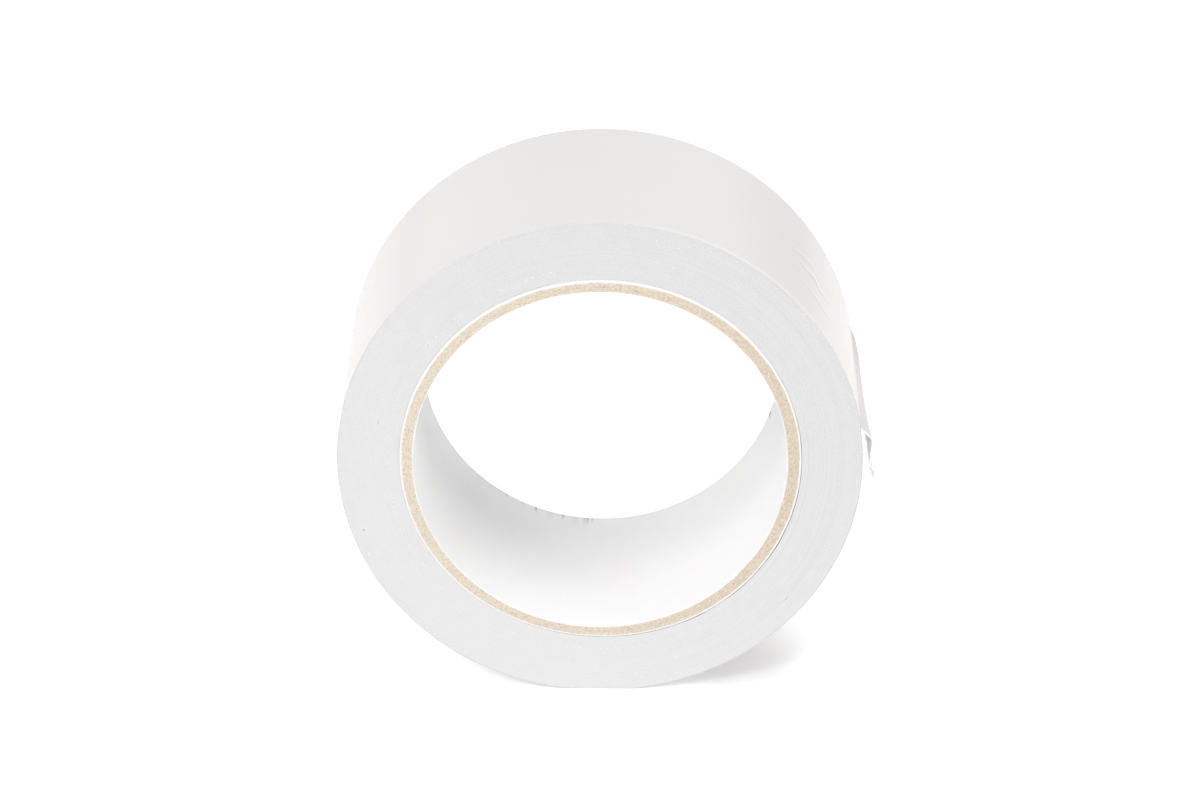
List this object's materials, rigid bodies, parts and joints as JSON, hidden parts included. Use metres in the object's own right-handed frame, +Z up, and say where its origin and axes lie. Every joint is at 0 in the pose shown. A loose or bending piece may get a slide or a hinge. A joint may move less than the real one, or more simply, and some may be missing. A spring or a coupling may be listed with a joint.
{
  "type": "roll of packing tape",
  "caption": "Roll of white PVC packing tape wound on a laminated paper core, standing on its rim, with the creased and torn free end lifted off the roll.",
  "frame": {"origin": "centre of the core's bore, halfway across the tape's width", "axes": "+Z up with the roll standing on its rim, +Y along the bore from the front face to the back face, +X to the side of the free end"},
  "size_m": [0.1095, 0.048, 0.1065],
  "materials": {
    "white_paper": "smooth white paper, uncoated",
    "core_board": "raw cut edge of recycled core board",
    "wound_tape": "slit edges of wound white PVC tape, matt",
    "tape_film": "white PVC film, satin"
  },
  "bodies": {
    "roll": {"core_liner": "white_paper", "core_ply_1": "core_board", "core_ply_2": "core_board", "core_ply_3": "core_board", "core_ply_4": "core_board", "core_wrap": "white_paper", "tape_winding": "wound_tape", "outer_turn": "tape_film"},
    "flap": {"tail_flap": "tape_film"},
    "torn_end": {"tail_end": "tape_film"}
  },
  "joints": [
    {"name": "tail_peel", "type": "hinge", "parent": "roll", "child": "flap", "pos_m": [0.05295, 0, 0.00798], "axis": [0, -1, 0], "range_deg": [0, 120], "stiffness_Nm_per_rad": 0.00002},
    {"name": "tail_crease", "type": "hinge", "parent": "flap", "child": "torn_end", "pos_m": [0.05435, 0, 0.00556], "axis": [0.0336, -0.9992, 0.0194], "range_deg": [-3, 60], "stiffness_Nm_per_rad": 0.00001}
  ]
}
